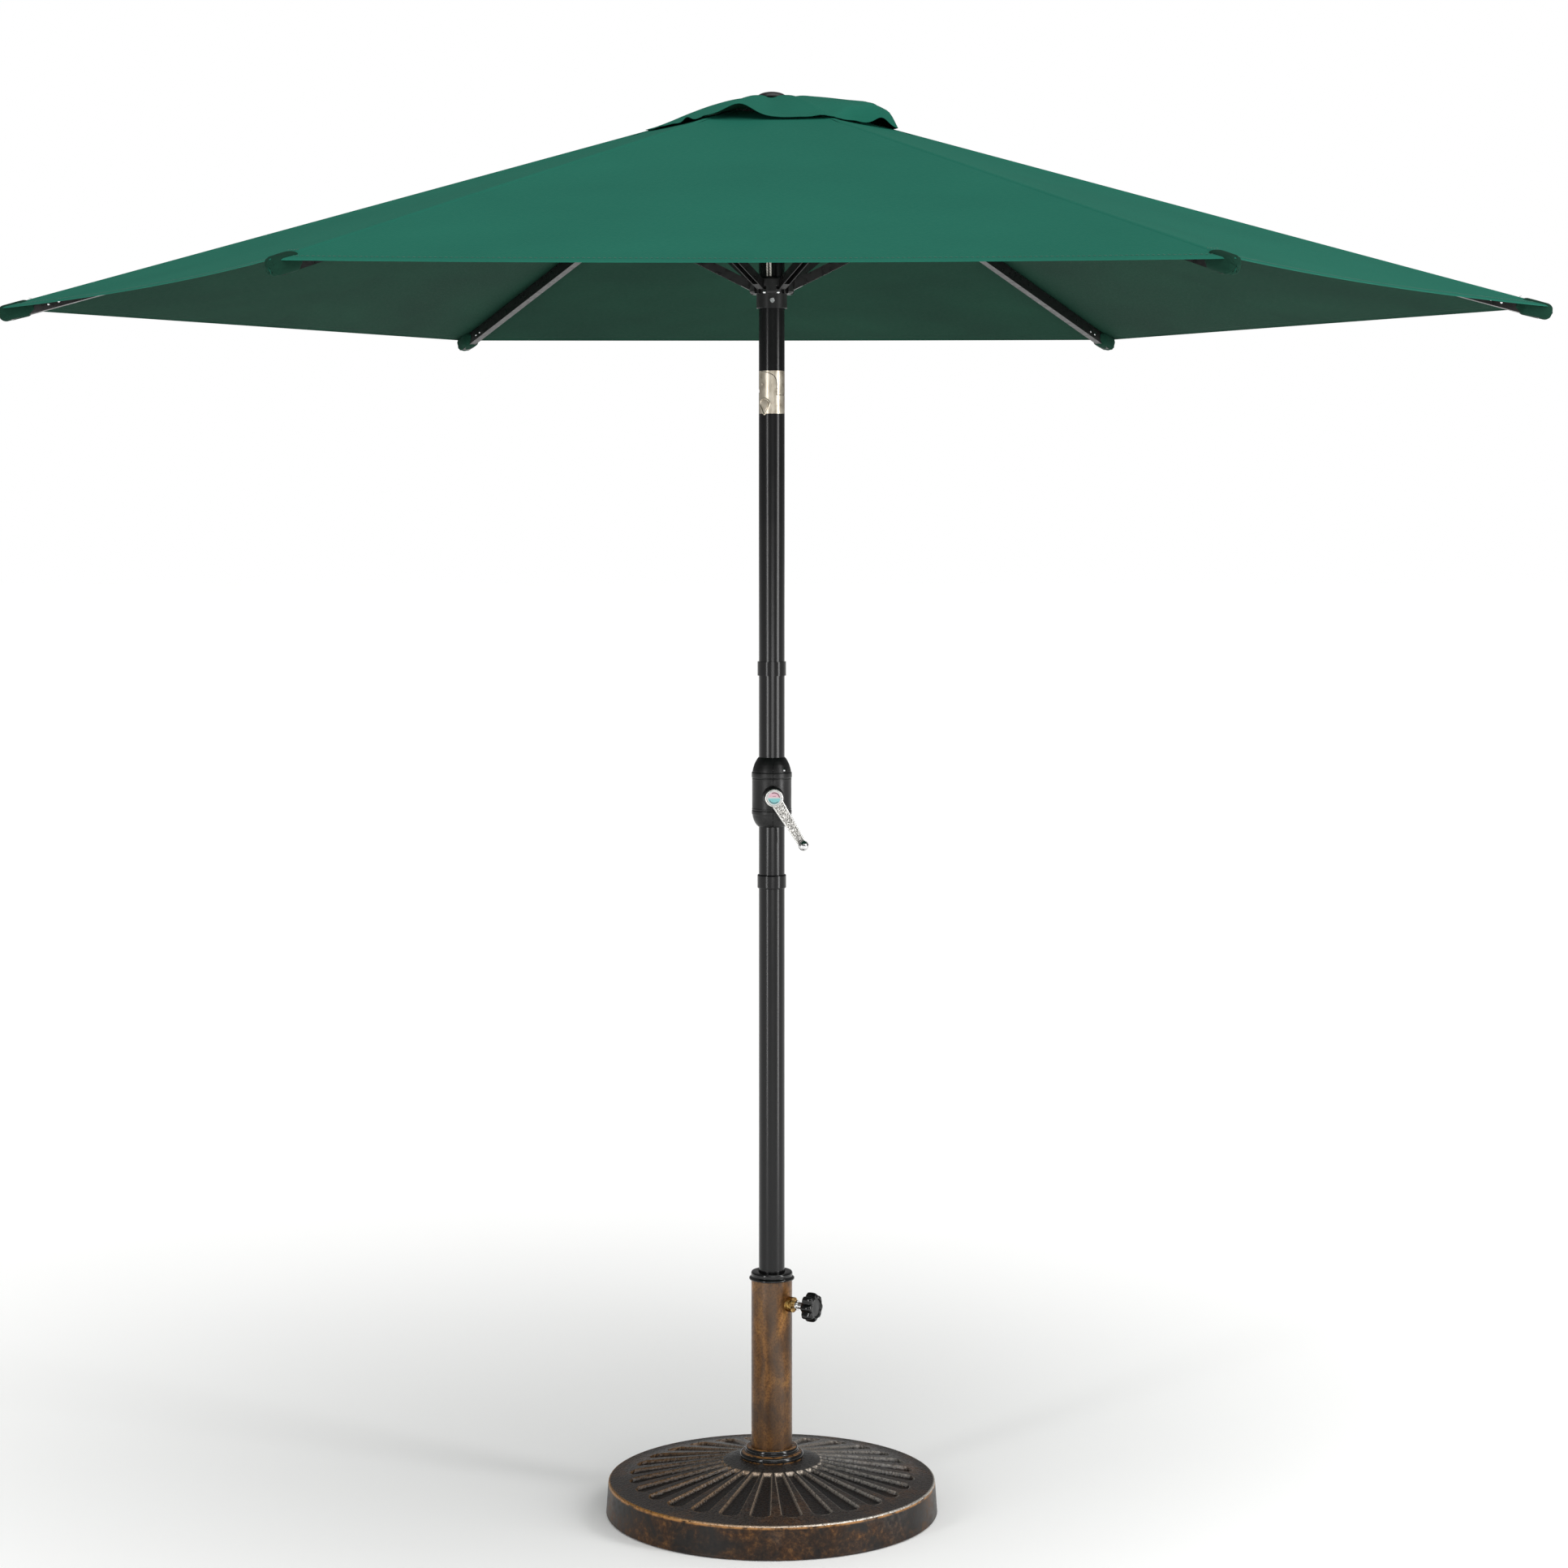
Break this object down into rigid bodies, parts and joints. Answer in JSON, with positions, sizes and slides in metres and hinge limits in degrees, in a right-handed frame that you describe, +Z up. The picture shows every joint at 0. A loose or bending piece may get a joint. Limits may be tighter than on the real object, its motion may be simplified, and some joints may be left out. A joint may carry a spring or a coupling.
{
  "type": "patio umbrella with base",
  "caption": "Crank-lift patio umbrella with a six-sided vented canopy, push-button tilt and a round weighted base with a clamping stem.",
  "frame": {"origin": "centre of the base's underside, on the mast's axis at ground level", "axes": "+Z up along the mast; -Y towards the side the crank stands on; +X to the right seen from the crank's side"},
  "size_m": [2.2854, 2.0032, 2.088],
  "materials": {
    "base_resin": "cast resin with hammered bronze-and-black paint",
    "stem_steel": "steel tube with brushed antique-bronze paint",
    "trim_plastic": "glossy black moulding",
    "bright_steel": "zinc-plated and polished steel",
    "mast_steel": "black powder coat, semi-gloss",
    "housing_plastic": "black glass-filled nylon, satin",
    "zinc_casting": "die-cast zinc, satin nickel",
    "spool_plastic": "natural nylon",
    "rib_aluminium": "black powder coat",
    "canopy_polyester": "woven polyester, dark green",
    "cord_polyester": "braided white cord"
  },
  "bodies": {
    "base": {"base_disc": "base_resin", "base_stem": "stem_steel", "stem_trim": "trim_plastic", "stem_cap": "trim_plastic", "base_bolts": "bright_steel", "clamp_nut": "stem_steel"},
    "clamp_stud": {"clamp_stud": "bright_steel"},
    "clamp_knob": {"clamp_knob": "trim_plastic"},
    "mast_lower": {"lower_pole": "mast_steel", "lower_collar": "mast_steel", "middle_pole": "mast_steel", "upper_collar": "mast_steel", "crank_housing_left": "housing_plastic", "crank_housing_right": "housing_plastic", "housing_screws": "bright_steel", "tilt_lower": "zinc_casting", "tilt_pin": "bright_steel", "tilt_spring": "bright_steel", "lift_cord_lower": "cord_polyester"},
    "crank": {"crank_axle": "bright_steel", "crank_spool": "spool_plastic", "crank_handle": "zinc_casting", "crank_ball": "zinc_casting", "crank_label": "trim_plastic"},
    "tilt_button": {"tilt_button": "zinc_casting"},
    "mast_upper": {"tilt_upper": "zinc_casting", "upper_pole": "mast_steel", "top_hub": "housing_plastic", "hub_pins": "bright_steel", "finial": "housing_plastic", "vent_canopy": "canopy_polyester", "lift_cord_upper": "cord_polyester"},
    "pulley": {"pulley": "housing_plastic"},
    "runner": {"runner": "housing_plastic", "runner_liner": "housing_plastic", "runner_screw": "bright_steel"},
    "rib_1": {"rib_1": "rib_aluminium", "strut_clip_1": "rib_aluminium", "canopy_1": "canopy_polyester"},
    "rib_2": {"rib_2": "rib_aluminium", "strut_clip_2": "rib_aluminium", "canopy_2": "canopy_polyester"},
    "rib_3": {"rib_3": "rib_aluminium", "strut_clip_3": "rib_aluminium", "canopy_3": "canopy_polyester"},
    "rib_4": {"rib_4": "rib_aluminium", "strut_clip_4": "rib_aluminium", "canopy_4": "canopy_polyester"},
    "rib_5": {"rib_5": "rib_aluminium", "strut_clip_5": "rib_aluminium", "canopy_5": "canopy_polyester"},
    "rib_6": {"rib_6": "rib_aluminium", "strut_clip_6": "rib_aluminium", "canopy_6": "canopy_polyester"},
    "strut_1": {"strut_1": "rib_aluminium"},
    "strut_2": {"strut_2": "rib_aluminium"},
    "strut_3": {"strut_3": "rib_aluminium"},
    "strut_4": {"strut_4": "rib_aluminium"},
    "strut_5": {"strut_5": "rib_aluminium"},
    "strut_6": {"strut_6": "rib_aluminium"}
  },
  "joints": [
    {"name": "clamp_stud_travel", "type": "slide", "parent": "base", "child": "clamp_stud", "axis": [0.8572, -0.515, 0], "range_m": [0, 0.0045]},
    {"name": "clamp_knob_turn", "type": "hinge", "parent": "clamp_stud", "child": "clamp_knob", "pos_m": [0, 0, 0.307], "axis": [0.8572, -0.515, 0], "range_deg": [-0.5, 1080.5]},
    {"name": "mast_lift", "type": "slide", "parent": "base", "child": "mast_lower", "axis": [0, 0, 1], "range_m": [0, 0.3]},
    {"name": "crank_turn", "type": "hinge", "parent": "mast_lower", "child": "crank", "pos_m": [0, 0, 1.053], "axis": [0.0698, -0.9976, 0], "range_deg": [-1, 2283]},
    {"name": "tilt_button_press", "type": "slide", "parent": "mast_lower", "child": "tilt_button", "axis": [0.5635, 0.8261, 0], "range_m": [0, 0.003], "stiffness_N_per_m": 600, "deforming": ["tilt_spring"]},
    {"name": "tilt", "type": "hinge", "parent": "mast_lower", "child": "mast_upper", "pos_m": [-0.0155, 0, 1.657], "axis": [0, -1, 0], "range_deg": [0, 30]},
    {"name": "pulley_turn", "type": "hinge", "parent": "mast_upper", "child": "pulley", "pos_m": [0.00275, -0.012, 2.005], "axis": [0.84, -0.5425, 0], "range_deg": [-1, 1678]},
    {"name": "runner_slide", "type": "slide", "parent": "mast_upper", "child": "runner", "axis": [0, 0, 1], "range_m": [-0.41809, 0], "deforming": ["vent_canopy", "lift_cord_upper"]},
    {"name": "rib_fold_1", "type": "hinge", "parent": "mast_upper", "child": "rib_1", "pos_m": [0.03199, -0.00067, 2.0585], "axis": [0.0209, 0.9998, 0], "range_deg": [-0.1, 68.97], "deforming": ["canopy_1"]},
    {"name": "strut_fold_1", "type": "hinge", "parent": "rib_1", "child": "strut_1", "pos_m": [0.34245, -0.00717, 1.95798], "axis": [0.0209, 0.9998, 0], "range_deg": [-129.14, 0.1]},
    {"name": "rib_fold_2", "type": "hinge", "parent": "mast_upper", "child": "rib_2", "pos_m": [0.01658, 0.02737, 2.0585], "axis": [-0.8554, 0.518, 0], "range_deg": [-0.1, 68.97], "deforming": ["canopy_2"]},
    {"name": "strut_fold_2", "type": "hinge", "parent": "rib_2", "child": "strut_2", "pos_m": [0.17744, 0.29299, 1.95798], "axis": [-0.8554, 0.518, 0], "range_deg": [-129.14, 0.1]},
    {"name": "rib_fold_3", "type": "hinge", "parent": "mast_upper", "child": "rib_3", "pos_m": [-0.01542, 0.02804, 2.0585], "axis": [-0.8763, -0.4818, 0], "range_deg": [-0.1, 68.97], "deforming": ["canopy_3"]},
    {"name": "strut_fold_3", "type": "hinge", "parent": "rib_3", "child": "strut_3", "pos_m": [-0.16501, 0.30016, 1.95798], "axis": [-0.8763, -0.4818, 0], "range_deg": [-129.14, 0.1]},
    {"name": "rib_fold_4", "type": "hinge", "parent": "mast_upper", "child": "rib_4", "pos_m": [-0.03199, 0.00067, 2.0585], "axis": [-0.0209, -0.9998, 0], "range_deg": [-0.1, 68.97], "deforming": ["canopy_4"]},
    {"name": "strut_fold_4", "type": "hinge", "parent": "rib_4", "child": "strut_4", "pos_m": [-0.34245, 0.00717, 1.95798], "axis": [-0.0209, -0.9998, 0], "range_deg": [-129.14, 0.1]},
    {"name": "rib_fold_5", "type": "hinge", "parent": "mast_upper", "child": "rib_5", "pos_m": [-0.01658, -0.02737, 2.0585], "axis": [0.8554, -0.518, 0], "range_deg": [-0.1, 68.97], "deforming": ["canopy_5"]},
    {"name": "strut_fold_5", "type": "hinge", "parent": "rib_5", "child": "strut_5", "pos_m": [-0.17744, -0.29299, 1.95798], "axis": [0.8554, -0.518, 0], "range_deg": [-129.14, 0.1]},
    {"name": "rib_fold_6", "type": "hinge", "parent": "mast_upper", "child": "rib_6", "pos_m": [0.01542, -0.02804, 2.0585], "axis": [0.8763, 0.4818, 0], "range_deg": [-0.1, 68.97], "deforming": ["canopy_6"]},
    {"name": "strut_fold_6", "type": "hinge", "parent": "rib_6", "child": "strut_6", "pos_m": [0.16501, -0.30016, 1.95798], "axis": [0.8763, 0.4818, 0], "range_deg": [-129.14, 0.1]}
  ],
  "couplings": [
    {"joint": "clamp_knob_turn", "follows": "clamp_stud_travel", "rad_per_m": 4188.8},
    {"joint": "crank_turn", "follows": "runner_slide", "rad_per_m": -95.238},
    {"joint": "pulley_turn", "follows": "runner_slide", "rad_per_m": -70.003},
    {"joint": "rib_fold_1", "follows": "runner_slide", "rad_per_m": -2.8751},
    {"joint": "strut_fold_1", "follows": "runner_slide", "rad_per_m": 5.3868},
    {"joint": "rib_fold_2", "follows": "runner_slide", "rad_per_m": -2.8751},
    {"joint": "strut_fold_2", "follows": "runner_slide", "rad_per_m": 5.3868},
    {"joint": "rib_fold_3", "follows": "runner_slide", "rad_per_m": -2.8751},
    {"joint": "strut_fold_3", "follows": "runner_slide", "rad_per_m": 5.3868},
    {"joint": "rib_fold_4", "follows": "runner_slide", "rad_per_m": -2.8751},
    {"joint": "strut_fold_4", "follows": "runner_slide", "rad_per_m": 5.3868},
    {"joint": "rib_fold_5", "follows": "runner_slide", "rad_per_m": -2.8751},
    {"joint": "strut_fold_5", "follows": "runner_slide", "rad_per_m": 5.3868},
    {"joint": "rib_fold_6", "follows": "runner_slide", "rad_per_m": -2.8751},
    {"joint": "strut_fold_6", "follows": "runner_slide", "rad_per_m": 5.3868}
  ]
}
